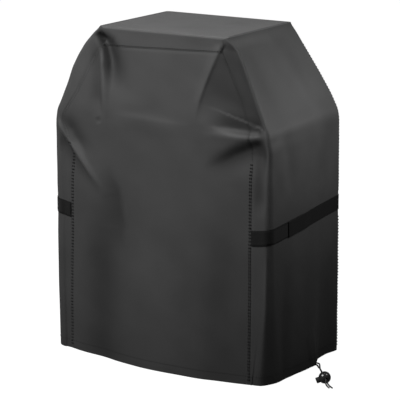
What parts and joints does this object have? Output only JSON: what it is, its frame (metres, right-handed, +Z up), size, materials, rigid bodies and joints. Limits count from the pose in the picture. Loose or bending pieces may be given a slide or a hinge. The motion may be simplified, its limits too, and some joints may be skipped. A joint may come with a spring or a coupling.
{
  "type": "grill cover",
  "caption": "Fitted fabric cover for an outdoor grill on a stand, with hook-and-loop side straps, a drawcord in the hem and a ball cord lock.",
  "frame": {"origin": "bottom centre of the cover's own box, on the surface that it stands on, cord tails and cord lock left out", "axes": "+Z up, +X to the cover's right-hand side where the drawcord comes out, -Y towards the front"},
  "size_m": [1.0109, 0.5139, 1.092],
  "materials": {
    "cover_fabric": "semi-matt black coated oxford weave",
    "hem_fabric": "semi-matt black coated oxford weave",
    "seam_binding": "matt black woven tape",
    "strap_fabric": "black fabric, close weave",
    "loop_tape": "black napped loop pile",
    "hook_tape": "black woven tape with small hooks",
    "drawcord": "black braided polyester cord",
    "lock_plastic": "glossy moulded black plastic",
    "plunger_plastic": "glossy moulded black plastic",
    "spring_steel": "plain spring steel"
  },
  "bodies": {
    "cover": {"top_panel": "cover_fabric", "front_panel": "cover_fabric", "back_panel": "cover_fabric", "right_side_panel": "cover_fabric", "left_side_panel": "cover_fabric", "front_hem_casing": "hem_fabric", "back_hem_casing": "hem_fabric", "right_hem_casing": "hem_fabric", "left_hem_casing": "hem_fabric", "right_front_seam_binding": "seam_binding", "left_front_seam_binding": "seam_binding", "right_back_seam_binding": "seam_binding", "left_back_seam_binding": "seam_binding", "right_top_seam_binding": "seam_binding", "left_top_seam_binding": "seam_binding", "front_flap_binding": "seam_binding", "back_flap_binding": "seam_binding", "drawcord": "drawcord", "drawcord_tail_front": "drawcord", "drawcord_tail_rear": "drawcord"},
    "right_rear_strap": {"right_rear_strap": "strap_fabric", "right_hook_tape": "hook_tape"},
    "right_front_strap": {"right_front_strap": "strap_fabric", "right_loop_tape": "loop_tape"},
    "left_rear_strap": {"left_rear_strap": "strap_fabric", "left_hook_tape": "hook_tape"},
    "left_front_strap": {"left_front_strap": "strap_fabric", "left_loop_tape": "loop_tape"},
    "cord_lock": {"cord_lock_body": "lock_plastic", "cord_lock_spring": "spring_steel"},
    "plunger": {"cord_lock_plunger": "plunger_plastic"}
  },
  "joints": [
    {"name": "right_rear_strap_peel", "type": "hinge", "parent": "cover", "child": "right_rear_strap", "pos_m": [0.40756, 0.2499, 0.508], "axis": [0, 0, 1], "range_deg": [0, 100]},
    {"name": "right_front_strap_peel", "type": "hinge", "parent": "cover", "child": "right_front_strap", "pos_m": [0.33732, -0.208, 0.483], "axis": [0, 0, -1], "range_deg": [0, 50]},
    {"name": "left_rear_strap_peel", "type": "hinge", "parent": "cover", "child": "left_rear_strap", "pos_m": [-0.40756, 0.2499, 0.508], "axis": [0, 0, -1], "range_deg": [0, 100]},
    {"name": "left_front_strap_peel", "type": "hinge", "parent": "cover", "child": "left_front_strap", "pos_m": [-0.33732, -0.208, 0.483], "axis": [0, 0, 1], "range_deg": [0, 50]},
    {"name": "cord_lock_slide", "type": "slide", "parent": "cover", "child": "cord_lock", "axis": [-0.6255, 0.7803, 0], "range_m": [0, 0.06]},
    {"name": "plunger_press", "type": "slide", "parent": "cord_lock", "child": "plunger", "axis": [0.7332, 0.5877, 0.342], "range_m": [0, 0.005], "stiffness_N_per_m": 500, "springref_m": -0.004, "deforming": ["cord_lock_spring"]}
  ],
  "couplings": [
    {"joint": "right_front_strap_peel", "follows": "right_rear_strap_peel", "ratio": 0.5},
    {"joint": "left_front_strap_peel", "follows": "left_rear_strap_peel", "ratio": 0.5}
  ]
}
